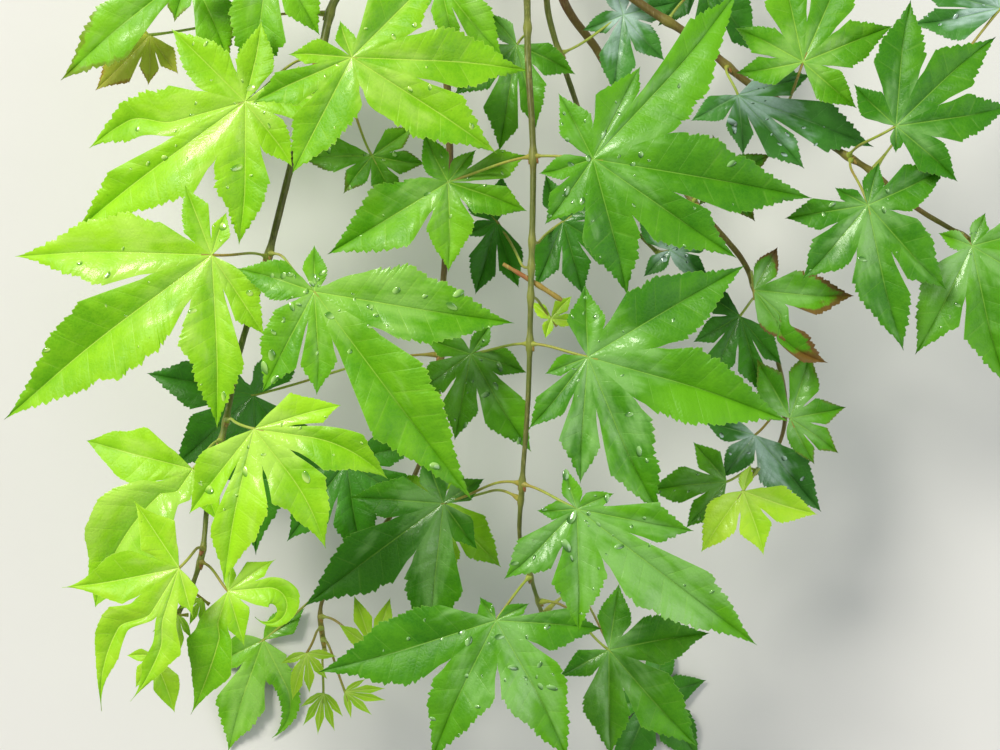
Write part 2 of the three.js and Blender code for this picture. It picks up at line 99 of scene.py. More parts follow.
# What a leaf may set besides its place and lobes; a value in braces is for one lobe, by number:
# tone and tones, lighter above 0; rust, how far its tips have browned; web, where the gaps
# between lobes begin, as a share of their length; slim and slims, a share of the usual width;
# teeth, of the usual depth; taper, how soon the lobes narrow; slope, the blade's tilt; curls, by
# how many degrees a lobe turns aside; sheens and footSheen, more or less wet shine; rests, when
# a tip touches the floor; and extra, for a leaflet that isn't in the CAD.
def leafAt(tint, root, at, level, *lobes, **more):
    return {"tint": tint, "root": root, "at": at, "level": level, "lobes": lobes, **more}


# Each leaf: its tint; the place on its stem; its own centre; the centre's height; and how far each
# lobe's tip lies from the centre, with a sideways bow as a third number
leaves = {}
leaves["main_stem"] = [
    leafAt("mid", (4, 168), (-32, 160), 44, (-34, 4), (-24, 24), (-2, 26), (-26, -18), (-4, -22)),
    leafAt("mid", (4, 168), (38, 160), 42, (36, 2), (26, 24), (2, 24), (24, -20), (2, -22)),
]
leaves["left_shoot"] = [
    leafAt("lime", (-54, 94), (-76.5, 82), 78, (-22, 22), (-47, -13, -5), (-52, -38), (0, -43), (15, -19),
        (34, 4), (6, 24), tone=0.6, web=0.4),
    leafAt("lime", (-70.3, 35), (-86.5, 36), 88, (4, 13), (-8, 21), (-59, 2), (-64, -47), (3, -52), (16, -24),
        tone=0.45, web=0.26, tones={2: 0.6, 3: -0.25}, sheens={2: 0.2, 3: -0.08}),
    leafAt("lime", (-53, 98), (-44.4, 95.3), 92, (-4, 11), (-19, 1.5), (-30, -13), (-18, -35), (44, -28),
        (53, -2), (26, 26), tone=0.05, web=0.38, slope=(-0.08, 0)),
    leafAt("fresh", (-69.5, 37), (-55.7, 25), 96, (0, 14), (60, -10), (47, -63), (2, -31), (-16, -30),
        (-23, 8), tone=0.4, web=0.27, sheens={1: 0.16, 2: -0.04}),
    leafAt("fresh", (-54, 92), (-38.4, 65.7), 62, (-22, 0), (-9, -11), (8, -15), (16, -3), (13, 9), tone=0.2,
        rust=0.5),
    leafAt("fresh", (-44, 119), (-69, 128), 72, (-6, -44), (15, -26), (22, 20), (-4, 28), (-28, 16),
        (-30, -12), tone=0.6),
    leafAt("fresh", (-46, 117), (-93, 121), 60, (-40, -31), (-5, -15), (13, -27), (12, 24), (-14, 24),
        (-34, 2), rust=0.5),
    leafAt("old", (-51, 108), (-105, 102), 48, (-16, -17), (0, -15), (8, -12), (-12, 4)),
    leafAt("lime", (-82.5, -14), (-73.8, -16.2), 103, (26, 8), (43, -6), (26, -33), (-11, -46), (-20, -25),
        tone=1, web=0.28, teeth=0.55, footSheen=0.3, tones={1: -0.8, 2: -0.5}, curls={1: -34, 2: -18}),
    leafAt("lime", (-84, -20), (-92.2, -28.2), 90.5, (-32, 8), (-28.5, -42, -5.5), (8, -15), tone=0.8,
        teeth=0.35, taper=1.25, sheens={1: 0.16}, slims={1: 1.28}),
    leafAt("young", (-89.5, -52), (-96.3, -57.9), 105, (-14, 21), (-35, -7), (-26, -42, -6), (-13, -41, 2),
        (4, -15), teeth=0.25, taper=2.1, curls={2: 20, 3: -16}, slims={2: 0.74, 3: 0.85}),
    leafAt("lime", (-89.7, -56), (-81.6, -64.8), 96, (14, 10), (1, 9), (34, 3), (5, -17), (-12, -37, 2),
        tone=0.8, teeth=0.3, taper=1.9, tones={3: -0.5, 4: -1.2}, sheens={4: -0.15}, curls={2: -235},
        slims={2: 0.6}),
    leafAt("young", (-102, -77), (-104, -84), 84, (7, -17), (-5, -10), (-8, 0), teeth=0.3),
    leafAt("young", (-98, -72), (-96.5, -72), 95, (-8, -5), (-5, -10), (0, -12), (4, -7), tone=0.9, web=0.2,
        slim=0.6, teeth=0.3, extra=True),
    leafAt("young", (-92, -65), (-89.5, -67), 93, (-7, -3), (-4, -8), (0, -8), tone=0.9, web=0.2, slim=0.6,
        teeth=0.3, extra=True),
]
leaves["rear_shoot"] = [
    leafAt("fresh", (-15, 127), (-18, 118), 74, (18, -23), (4.5, -20), (-13, -9), (-16, 12), (2, 24),
        (22, 14), tone=0.6),
    leafAt("deep", (-18, 6), (-74, -6), 44, (-32, 7), (-24, -22), (2, -48), (20, -30), (14, 16)),
    leafAt("deep", (-20, -14), (-46, -26), 54, (-26, -6), (-18, -24), (4, -30), (24, -16), (22, 6), tone=0.9),
    leafAt("fresh", (-49, -63), (-71, -79.5), 60, (-12, -33), (15, -30), (-16, -8), (12, 10), tone=0.3,
        sheens={0: 0.2}, curls={1: -85}, slims={1: 0.42}, rests=True),
    leafAt("young", (-53.2, -73), (-38.4, -81.9), 58, (-5, 16), (-10, 7), (6, 15), (10, 2), web=0.28,
        slim=0.75, teeth=0.5),
    leafAt("young", (-53.2, -76), (-58, -83.4), 52, (9, -1), (6, -8), (1, -12), (-5, -14), (-8, -3), web=0.24,
        slim=0.62, teeth=0.4),
    leafAt("young", (-52.6, -83.6), (-53, -95.4), 44, (-7, -4), (-6, -10), (-2, -12.5), (3, -11.5), (6, -7),
        web=0.22, slim=0.5, teeth=0.3),
    leafAt("young", (-52.8, -79.5), (-46.5, -95), 54, (6, 4), (12, 1), (12, -3), (8, -7), (2, -8), web=0.22,
        slim=0.5, teeth=0.3),
]
leaves["centre_shoot"] = [
    leafAt("mid", (8.4, 104), (5, 99), 64, (-5, -32), (6, -25), (-19, -15), (18, -8), (-8, 10)),
    leafAt("fresh", (9.9, 65.5), (-15.6, 57.9), 74, (-36, -22), (1, -27), (24, -8), (24, 8), (8, 10),
        (-8, 15), tone=0.2),
    leafAt("mid", (9.9, 66), (27.9, 64.8), 94, (-16, -5), (-14, -20), (11, -41), (43, -30), (66, -11),
        (46, 49), (14, 28), (-10, 20), tone=0.5, web=0.42, footSheen=-0.14,
        tones={2: -0.2, 3: -0.3, 4: -0.4, 5: 0.3}, sheens={2: 0.04, 3: -0.14, 4: -0.16, 5: 0.05}),
    leafAt("deep", (9.3, 32), (-1, 46), 50, (-10, -4), (-6, -22), (6, -20), (-10, 10), (2, 14), tone=1),
    leafAt("deep", (9.4, 40), (19, 46), 60, (-8, -20), (6, -22), (20, -12), (16, 12), (-6, 14)),
    leafAt("young", (9.3, 24), (15.3, 17), 76, (-6, 5), (6, 7), (8, -1), (-2, -6)),
    leafAt("mid", (8.7, 9.5), (-8.7, 6.3), 70, (17, -5), (17, -30), (-5, -26), (-17, -12), (-15, 5), (6, 9),
        tone=0.8),
    leafAt("mid", (8.7, 9), (26.4, 5.4), 97, (-1, 22), (47, 28), (61, -17), (20, -49), (-3, -38), (-17, -22),
        (-13, -5), tone=0.4, web=0.34, tones={1: -0.5, 2: 0.2}, sheens={1: -0.22, 2: -0.12, 3: 0.14, 4: 0.2}),
    leafAt("mid", (6.6, -33), (-17, -38.5), 66, (10, -14), (-5, -44), (-42, -31), (-28, 2), (-6, 16), (12, 8),
        tone=-0.25, sheens={1: 0.05, 2: -0.05}),
    leafAt("lime", (6.4, -38), (-19, -37), 43, (19, -21), (4, -26), (-14, -18), (-16, 6), (6, 14)),
    leafAt("mid", (6.6, -33), (23.1, -40.2), 98, (-4, 12), (-12, -1), (-21, -22), (1, -37), (54, -41),
        (35, -7), (11, 5), tone=0.6, web=0.33, tones={4: 0.2}, sheens={2: 0.12, 3: 0.18, 4: 0.24, 5: 0.16}),
    leafAt("mid", (9, -60), (-1.2, -73.6), 86, (-5, 7), (-53, -17), (-21, -42), (24, -42), (32, -2), (10, 5),
        tone=0.5, web=0.34, tones={1: -0.3}, sheens={1: -0.16, 3: 0.08}),
    leafAt("mid", (11.5, -68), (32.7, -82.5), 58, (3, 20), (30, 6), (26, -30), (0, -32), (-15, -8), tone=0.2,
        sheens={1: -0.12, 2: -0.08}),
    leafAt("deep", (13, -72.5), (46, -96), 30, (16, 4), (14, -20), (-10, -24), (-18, -6), (4, 18), tone=0.7,
        rests=True),
]
leaves["inner_shoot"] = [
    leafAt("wet", (18, 97), (37, 108), 48, (-12, -5), (-3, -24), (12, -14), (16, 4), (-4, 14)),
    leafAt("wet", (48, 36), (51, 37.5), 46, (-10, 10), (-8, -8), (12, -8), (14, 4), (4, 12)),
]
leaves["right_rear_shoot"] = [
    leafAt("mid", (58, 52), (67.5, 60), 58, (9, -14), (19, -5), (-8, -9), (14, 6), (-4, 12), rust=0.6),
    leafAt("deep", (76.8, 24), (72, 17.7), 56, (7, -24), (-9, -20), (-14, -8), (12, -15), (-12, 8)),
    leafAt("mid", (76, 27), (76.2, 25.5), 72, (12, -17), (23, -21, -5), (30, -3), (7, 13), tone=0.4, rust=1),
    leafAt("mid", (85.8, -10), (87, -13), 58, (7, 21), (-10, 18), (17, 3), (15, -10), (7, -14), rust=0.4),
    leafAt("wet", (85.6, -11), (76.5, -18), 50, (20, -23), (-10, -13), (-16, 4)),
    leafAt("young", (76, -30), (72.9, -34.8), 66, (22, -8), (7, -19), (-13, -18), (2, 8)),
    leafAt("mid", (77, -29), (68, -32), 52, (-24, -2), (-12, -14), (-10, 12), tone=0.6),
]
leaves["right_shoot"] = [
    leafAt("deep", (50, 106), (61, 119), 40, (4, -20), (16, -22), (-14, -14), (-12, 14), (8, 20), (24, 6)),
    leafAt("wet", (68, 93), (71.4, 84), 66, (41, -15), (20, -22), (2, -18), (-14, -8), (22, 6), tone=0.9,
        web=0.31),
    leafAt("fresh", (86, 80), (90.9, 93.9), 80, (-20, 11), (-20, -4), (-7, 32), (14, 32), (27, 11), (16, -14),
        tone=-0.35, web=0.36, sheens={2: -0.1, 3: -0.1, 4: -0.1}),
    leafAt("mid", (105, 66), (118.8, 74.7), 86, (3, 38), (29, 28), (35, 5), (19, -16), (0, -8), (-13, 12),
        tone=-0.3, web=0.38, sheens={0: -0.1, 1: -0.2, 2: -0.1, 3: 0.05}),
    leafAt("mid", (106, 65.5), (110.4, 51), 82, (3, 13), (25, 11), (23, -26), (9, -44), (-19, -23), (-25, -4),
        (-10, 5), tone=-0.1, web=0.38),
    leafAt("wet", (112, 61), (150, 110), 60, (-26, -6), (-24, 6), (-4, 22), (22, 14), (20, -12)),
    leafAt("mid", (138, 42.5), (141.6, 38.7), 74, (9, -43), (-16, -33), (-10, 4), (4, 10), (30, 8), (34, -20),
        tone=0.5, web=0.36),
]

# Blades and their margins. A tooth is drawn by its outline: how far on, how far out.
leafShape = {
    "thickness": 0.32,
    "bend": 0.0017,
    "peak": 0.48,
    "rise": 1.08,
    "fall": 1.5,
    "half": 5,
    "smallHalf": 9,
    "widening": 0.1,
    "slender": 0.25,
    "sinusShare": 0.34,
    "wideSpread": math.radians(48),
    "shallowest": 0.35,
    "deepest": 0.75,
    "slit": 0.1,
    "slitOpening": 1.3,
    "narrowest": 0.06,
    "outerSpread": math.radians(62),
    "outerDepth": 0.7,
    "webSteps": (0.5, 1.6),
    "bowFrom": 1.6,
    "curlFrom": 1.4,
    "freeFrom": (0.6, 1.5),
    "toothPitch": 0.068,
    "toothLimits": (1.1, 2.9),
    "toothDepth": 0.41,
    "toothVaries": (0.55, 1.2),
    "pitchVaries": 0.22,
    "toothRows": (0, 0.22, 0.4, 0.5, 0.72, 0.9),
    "toothOut": (0, 0.4, 0.66, 0.44, 0.8, 1),
    "otherSide": 3,
    "leastTeeth": 3,
    "leastVeins": 3,
    "veinPitch": (2.5, 7),
    "veinShare": 0.62,
    "veinCrowding": 0.85,
    "veinSlant": 0.6,
    "quilt": 0.26,
    "quiltIn": (0.05, 0.25),
    "quiltOut": (1, 0.9),
    "fold": (0.2, 0.42),
    "webFold": 0.3,
    "foldFrom": 2,
    "ripple": 1.7,
    "rippleSize": 0.05,
    "rippleReach": (3, 22),
    "frill": 0.75,
    "frillSize": 0.14,
    "frillFrom": 1.8,
    "frillSeed": 7,
    "uneven": 0.2,
    "unevenSize": (0.17, 3.3, 20),
    "tipStep": 0.2,
    "tipSweep": 0.05,
    "sweepEnd": 1.1,
    "seeds": 50,
    "tone": (0.2, 0.8),
    "paintedFoldShade": (0.3, 1),
    "lobeTone": 0.5,
    "lobeToneStep": 7.3,
    "footReach": (0.55, 0.05),
    "ribBlend": 0.12,
    "webBlend": (0.5, 1),
    "webMargin": 0.5,
    "restLift": 1.0,
    "sharpAngle": 50,
    "stalkGapShare": 0.9,
    "columns": (0, 0.1, 0.32, 0.58, 0.82, 1),
    "painted": ("rib", "vein", "margin", "reach", "tone", "half", "along", "across", "lobe", "rust", "sheen"),
}


def lobesOf(leaf):
    # in order round the blade's foot, starting beside the stalk
    stalkTurn = math.atan2(leaf["root"][1] - leaf["at"][1], leaf["root"][0] - leaf["at"][0])
    lobes = []
    for number, entry in enumerate(leaf["lobes"]):
        length = math.hypot(entry[0], entry[1])
        angle = math.atan2(entry[1], entry[0])
        half = min(leafShape["half"] + leafShape["widening"] * length, leafShape["slender"] * length)
        half *= leaf.get("slims", {}).get(number, leaf.get("slim", 1))
        lobes.append({
            "turn": (angle - stalkTurn) % (2 * math.pi),
            "angle": angle,
            "length": length,
            "half": half,
            "bow": entry[2] if len(entry) > 2 else 0,
            "fall": leaf.get("taper", leafShape["fall"]),
            "teeth": leaf.get("teeth", 1),
            "curl": math.radians(leaf.get("curls", {}).get(number, 0)),
            "tone": leaf.get("tones", {}).get(number, 0),
            "sheen": leaf.get("sheens", {}).get(number, 0),
        })
    lobes.sort(key=lambda lobe: lobe["turn"])
    return lobes


def sinusBetween(leaf, lobe, following):
    # the gap between two lobes: how far it opens, and where it starts
    spread = following["turn"] - lobe["turn"]
    mean = (lobe["length"] + following["length"]) / 2
    opening = math.tan(leafShape["wideSpread"] / 2) / math.tan(spread / 2)
    share = leaf.get("web", leafShape["sinusShare"]) * between(leafShape["shallowest"], opening, 1)
    depth = min(share * mean, leafShape["deepest"] * min(lobe["length"], following["length"]))
    return {"spread": spread, "start": depth * math.cos(spread / 2)}


def outerSinus(lobes, lobe):
    # the same beside the stalk, outside the first and the last lobe
    gap = 2 * math.pi - (lobes[-1]["turn"] - lobes[0]["turn"])
    spread = min(leafShape["outerSpread"], leafShape["stalkGapShare"] * gap)
    depth = leafShape["sinusShare"] * leafShape["outerDepth"] * lobe["length"]
    return {"spread": spread, "start": depth * math.cos(spread / 2)}


def restLevel(leaf):
    # a leaf that rests touches the floor with the tip of its longest lobe
    longest = max(lobe["length"] for lobe in lobesOf(leaf))
    return leafShape["bend"] * longest ** 2 + leafShape["restLift"]


def halfWidth(lobe, sinus, along, tooth):
    # how far a lobe reaches to one side, with its teeth
    share = along / lobe["length"]
    own = lobe["half"] * (share / leafShape["peak"]) ** leafShape["rise"]
    own *= ((1 - share) / (1 - leafShape["peak"])) ** lobe["fall"]
    onward, byLength, bySpread = leafShape["unevenSize"]
    place = Vector((along * onward, lobe["length"] * byLength, sinus["spread"] * bySpread))
    own *= 1 + leafShape["uneven"] * noise.noise(place)
    sector = along * math.tan(sinus["spread"] / 2)
    free = smooth(sinus["start"], sinus["start"] * leafShape["slitOpening"], along)
    depth = leafShape["toothDepth"] * min(lobe["pitch"], own) * lobe["teeth"]
    edge = min(own + depth * (tooth - 0.5), sector * (1 - leafShape["slit"]))
    narrowest = between(0, min(along, lobe["length"] - along), leafShape["narrowest"])
    return max(narrowest, blend(sector, edge, free))


def rowsOf(lobe, right, left, step):
    # where the blade's cross-lines lie: even steps in the web, then one set for each tooth
    low, high = leafShape["toothLimits"]
    lobe["pitch"] = between(low, leafShape["toothPitch"] * lobe["length"], high)
    webRows = math.ceil(max(right["start"], left["start"]) / step)
    rows = [(row * step, (0.5, 0.5)) for row in range(webRows)]
    first = webRows * step
    teeth = max(leafShape["leastTeeth"], round((lobe["length"] - first) / lobe["pitch"]))
    steps = [1 + leafShape["pitchVaries"] * random.uniform(-1, 1) for tooth in range(teeth)]
    scale = (lobe["length"] - first) / sum(steps)
    low, high = leafShape["toothVaries"]
    onRight = random.uniform(low, high)
    onLeft = random.uniform(low, high)
    starts = [first + sum(steps[:tooth]) * scale for tooth in range(teeth)]
    marks = leafShape["toothOut"]
    other = leafShape["otherSide"]
    for start, width in zip(starts, steps):
        onRight = random.uniform(low, high)
        for mark, on in enumerate(leafShape["toothRows"]):
            if mark == other:
                onLeft = random.uniform(low, high)
            outs = (marks[mark] - 0.5) * onRight, (marks[(mark + other) % len(marks)] - 0.5) * onLeft
            rows.append((start + on * width * scale, (outs[0] + 0.5, outs[1] + 0.5)))
    rows = [row for row in rows if row[0] < lobe["length"] - leafShape["tipStep"]]
    rows.append((lobe["length"], (0, 0)))
    return rows


def bladePlace(leaf, lobe, along, side, share, across, phase):
    # a seen place on the blade, in millimetres, and its height
    web = lobe["web"]
    reach = along / lobe["length"]
    swing = lobe["bow"] * 4 * reach * (1 - reach) * smooth(web, web * leafShape["bowFrom"], along)
    swing += lobe["sweep"] * lobe["length"] * smooth(web, lobe["length"] * leafShape["sweepEnd"], along) ** 2
    # a curling lobe runs on round an arc beyond its web
    curlStart = web * leafShape["curlFrom"]
    start = min(along, curlStart)
    bend = max(1e-6, abs(lobe["curl"]) / max(1, lobe["length"] - curlStart))
    turned = bend * (along - start)
    way = math.copysign(1, lobe["curl"])
    onward = start + math.sin(turned) / bend - way * math.sin(turned) * side
    sideways = way * (1 - math.cos(turned)) / bend + math.cos(turned) * side + swing
    dx = math.cos(lobe["angle"]) * onward - math.sin(lobe["angle"]) * sideways
    dy = math.sin(lobe["angle"]) * onward + math.cos(lobe["angle"]) * sideways
    slope = leaf.get("slope", (0, 0))
    # in the web every lobe folds alike, so that neighbours meet
    fold = blend(leafShape["webFold"], lobe["fold"], smooth(web, web * leafShape["foldFrom"], along))
    lift = fold * across * math.sin(share * math.pi / 2)
    level = leaf["level"] + slope[0] * dx + slope[1] * dy + lift - leafShape["bend"] * along * along
    small = min(1, lobe["half"] / leafShape["smallHalf"])
    puff = math.sin(math.pi * (phase % 1)) * 4 * share * (1 - share) * smooth(*leafShape["quiltIn"], reach)
    puff *= smooth(*leafShape["quiltOut"], reach)
    level += leafShape["quilt"] * small * puff
    size = leafShape["rippleSize"]
    wave = noise.noise(Vector((dx * size, dy * size, leaf["seed"])))
    size = leafShape["frillSize"]
    frill = noise.noise(Vector((dx * size, dy * size, leaf["seed"] + leafShape["frillSeed"])))
    level += leafShape["ripple"] * wave * smooth(*leafShape["rippleReach"], math.hypot(dx, dy))
    frillFade = smooth(web, web * leafShape["frillFrom"], along)
    level += leafShape["frill"] * small * frill * share * share * frillFade
    return leaf["at"][0] + dx, leaf["at"][1] + dy, level


def gridIn(made, columns, rows):
    # a fresh grid's vertices, each with its column and its row
    verts = bmesh.ops.create_grid(made, x_segments=columns, y_segments=rows, size=1)["verts"]
    return [(vert, round((vert.co.x + 1) / 2 * columns), round((vert.co.y + 1) / 2 * rows)) for vert in verts]


def bladePiece(name, leaf):
    blade = bmesh.new()
    layers = [blade.loops.layers.float.new(key) for key in leafShape["painted"]]
    marks = {}
    lobes = lobesOf(leaf)
    columns = leafShape["columns"]
    last = len(columns) - 1
    random.seed(name)
    leaf["seed"] = random.uniform(0, leafShape["seeds"])
    tone = leaf.get("tone", random.uniform(*leafShape["tone"]))
    sinuses = [outerSinus(lobes, lobes[0])]
    sinuses += [sinusBetween(leaf, *pair) for pair in zip(lobes, lobes[1:])]
    sinuses.append(outerSinus(lobes, lobes[-1]))
    least, step = leafShape["webSteps"]
    step = between(least, min(sinus["start"] for sinus in sinuses), step)
    for index, lobe in enumerate(lobes):
        right, left = sinuses[index:index + 2]
        rows = rowsOf(lobe, right, left, step)
        lobe["web"] = max(right["start"], left["start"])
        lobe["fold"] = random.uniform(*leafShape["fold"])
        # painted light and shade of the fold: one half of each lobe painted lighter, the other darker
        lighter = random.choice((-1, 1)) * random.uniform(*leafShape["paintedFoldShade"])
        closest, widest = leafShape["veinPitch"]
        apart = between(closest, lobe["half"] * leafShape["veinShare"], widest)
        veins = max(leafShape["leastVeins"], lobe["length"] / apart)
        lobe["sweep"] = random.uniform(-1, 1) * leafShape["tipSweep"]
        place = Vector((index * leafShape["lobeToneStep"], leaf["seed"], 0.5))
        lobeTone = lobe["tone"] + leafShape["lobeTone"] * noise.noise(place)
        for vert, column, row in gridIn(blade, 2 * last, len(rows) - 1):
            column -= last
            along, teeth = rows[row]
            phase = veins * (along / lobe["length"]) ** leafShape["veinCrowding"]
            share = columns[abs(column)]
            halves = [halfWidth(lobe, sinus, along, out) for sinus, out in zip((right, left), teeth)]
            across = halves[column > 0]
            midrib = along - leafShape["veinSlant"] * (halves[0] + halves[1]) / 2
            onLine = blend(max(0, midrib), along, share)
            side = math.copysign(across * share, column)
            x, y, z = bladePlace(leaf, lobe, onLine, side, share, across, phase)
            vert.co = truePlace(x, y, z)
            freeStart, freeEnd = leafShape["freeFrom"]
            free = smooth(lobe["web"] * freeStart, lobe["web"] * freeEnd, onLine)
            margin = share if onLine > lobe["web"] else share * leafShape["webMargin"]
            reach = onLine / lobe["length"]
            sheen = lobe["sheen"] * free + leaf.get("footSheen", 0) * smooth(*leafShape["footReach"], reach)
            webbed = (1 - free) * smooth(*leafShape["webBlend"], share)
            half = smooth(0, leafShape["ribBlend"], share) * (1 - webbed)
            half = 0.5 + 0.5 * lighter * math.copysign(half, column)
            marks[vert] = (
                across * share, phase, margin, reach, tone + lobeTone * free, half,
                onLine, side, index + leaf["seed"], leaf.get("rust", 0), sheen,
            )
    # painted by face corner, because lobes that share a seam differ there
    for face in blade.faces:
        for corner in face.loops:
            for layer, value in zip(layers, marks[corner.vert]):
                corner[layer] = value
    bmesh.ops.remove_doubles(blade, verts=blade.verts, dist=mergeDistance)
    under = bmesh.ops.extrude_face_region(blade, geom=blade.faces[:], use_keep_orig=True)["geom"]
    under = [vert for vert in under if isinstance(vert, bmesh.types.BMVert)]
    bmesh.ops.translate(blade, verts=under, vec=(0, 0, -leafShape["thickness"] * mm))
    bmesh.ops.recalc_face_normals(blade, faces=blade.faces)
    if blade.calc_volume(signed=True) < 0:
        bmesh.ops.reverse_faces(blade, faces=blade.faces)
    leaf["surface"] = BVHTree.FromBMesh(blade)
    return finished(name, blade, materials["leaf_" + leaf["tint"]], leafShape["sharpAngle"])


def placed(name, data):
    made = bpy.data.objects.new(name, data)
    bpy.context.collection.objects.link(made)
    return made


def finished(name, made, material, sharpAngle=60):
    mesh = bpy.data.meshes.new(name)
    made.to_mesh(mesh)
    made.free()
    mesh.shade_smooth()
    mesh.set_sharp_from_angle(angle=math.radians(sharpAngle))
    mesh.materials.append(material)
    return placed(name, mesh)


# Ridges run along a stem: how many, by how much each stem's differ, their twist and their height
stemShape = {
    "sides": 20,
    "ridge": 0.05,
    "ridges": ((5, 1, 4, 0.5), (9, 0, -11, 0.3)),
    "seedStep": 3.1,
    "relief": 0.6,
    "reliefUpTo": 1.5,
    "swell": 0.34,
    "swellReach": 1.8,
    "mostSwell": 1.15,
    "tipTaper": 0.6,
    "tipFrom": 0.985,
    "knot": 0.12,
    "knotSize": (1.5, 0.28),
    "paintEvery": 6,
    "step": 1.2,
    "leastSteps": 40,
    "curveSteps": 24,
    "jointReach": 2.4,
    "sharpAngle": 50,
}


# Centre lines run as a centripetal Catmull-Rom curve, then at even steps
def curveThrough(points, steps):
    before = points[0] + (points[0] - points[1])
    after = points[-1] + (points[-1] - points[-2])
    places = [before, *points, after]
    line = []
    for index in range(1, len(places) - 2):
        p0, p1, p2, p3 = places[index - 1:index + 3]
        t0 = max((p1 - p0).length, 1e-9) ** 0.5
        t1 = max((p2 - p1).length, 1e-9) ** 0.5
        t2 = max((p3 - p2).length, 1e-9) ** 0.5
        leave = ((p1 - p0) / t0 - (p2 - p0) / (t0 + t1) + (p2 - p1) / t1) * t1
        arrive = ((p2 - p1) / t1 - (p3 - p1) / (t1 + t2) + (p3 - p2) / t2) * t1
        for step in range(stemShape["curveSteps"]):
            t = step / stemShape["curveSteps"]
            line.append(
                p1 * (2 * t ** 3 - 3 * t ** 2 + 1) + leave * (t ** 3 - 2 * t ** 2 + t)
                + p2 * (3 * t ** 2 - 2 * t ** 3) + arrive * (t ** 3 - t ** 2)
            )
    line.append(places[-2].copy())
    return evenSteps(line, steps)


def lengthOf(line):
    return sum((b - a).length for a, b in zip(line, line[1:]))


def evenSteps(line, steps):
    lengths = [0]
    for first, second in zip(line, line[1:]):
        lengths.append(lengths[-1] + (second - first).length)
    places = []
    index = 0
    for step in range(steps + 1):
        target = lengths[-1] * step / steps
        while index < len(line) - 2 and lengths[index + 1] < target:
            index += 1
        span = max(lengths[index + 1] - lengths[index], 1e-12)
        places.append(line[index].lerp(line[index + 1], between(0, (target - lengths[index]) / span, 1)))
    return places


def tube(made, line, radiusAt, sides, reliefAt=None):
    # a closed round limb: a grid rolled up round the line
    frames = []
    across = None
    for index, place in enumerate(line):
        along = (line[min(index + 1, len(line) - 1)] - line[max(index - 1, 0)]).normalized()
        across = along.orthogonal() if across is None else across - along * across.dot(along)
        across.normalize()
        frames.append((place, across.copy(), along.cross(across)))
    grid = gridIn(made, sides, len(line) - 1)
    for vert, side, row in grid:
        turn = -2 * math.pi * side / sides
        share = row / (len(line) - 1)
        radius = radiusAt(share)
        if reliefAt:
            radius += reliefAt(turn, share)
        place, first, second = frames[row]
        vert.co = place + (first * math.cos(turn) + second * math.sin(turn)) * radius * mm
    bmesh.ops.remove_doubles(made, verts=[vert for vert, side, row in grid], dist=mergeDistance)
    bmesh.ops.holes_fill(made, edges=[edge for edge in made.edges if edge.is_boundary], sides=sides + 1)


def stemLine(stem):
    points = [truePlace(*place) for place in stem["places"]]
    carrier = stems["main_stem"]
    if stem["leaves"]:
        points.insert(0, placeOnStem(carrier, stem["leaves"])["point"])
    elif stem is not carrier:
        points.insert(0, carrier["line"][-1])
    steps = round(lengthOf(points) / mm / stemShape["step"])
    return curveThrough(points, max(stemShape["leastSteps"], steps))


def placeOnStem(stem, seen):
    # the point of a stem's line that the eye sees nearest to a plan place
    line = stem["line"]
    distances = [(truePlace(*seen, place.z / mm) - place).length for place in line]
    index = distances.index(min(distances))
    index = between(1, index, len(line) - 2)
    share = index / (len(line) - 1)
    along = (line[index + 1] - line[index - 1]).normalized()
    return {"point": line[index], "along": along, "share": share, "radius": blend(*stem["radii"], share)}


# Shader maths: a wrapped socket takes part in ordinary expressions
class Value:
    def __init__(self, shade, socket):
        self.shade = shade
        self.socket = socket

    def maths(self, operation, *others):
        return self.shade.node("ShaderNodeMath", {"operation": operation}, [self, *others])

    def __add__(self, other):
        return self.maths("ADD", other)

    def __sub__(self, other):
        return self.maths("SUBTRACT", other)

    def __rsub__(self, other):
        return self.shade.node("ShaderNodeMath", {"operation": "SUBTRACT"}, [other, self])

    def __mul__(self, other):
        return self.maths("MULTIPLY", other)

    __radd__ = __add__
    __rmul__ = __mul__

    def rise(self, start, end, low=0.0, high=1.0):
        # a smooth step from low to high
        settings = {"interpolation_type": "SMOOTHSTEP"}
        return self.shade.node("ShaderNodeMapRange", settings, [self, start, end, low, high])


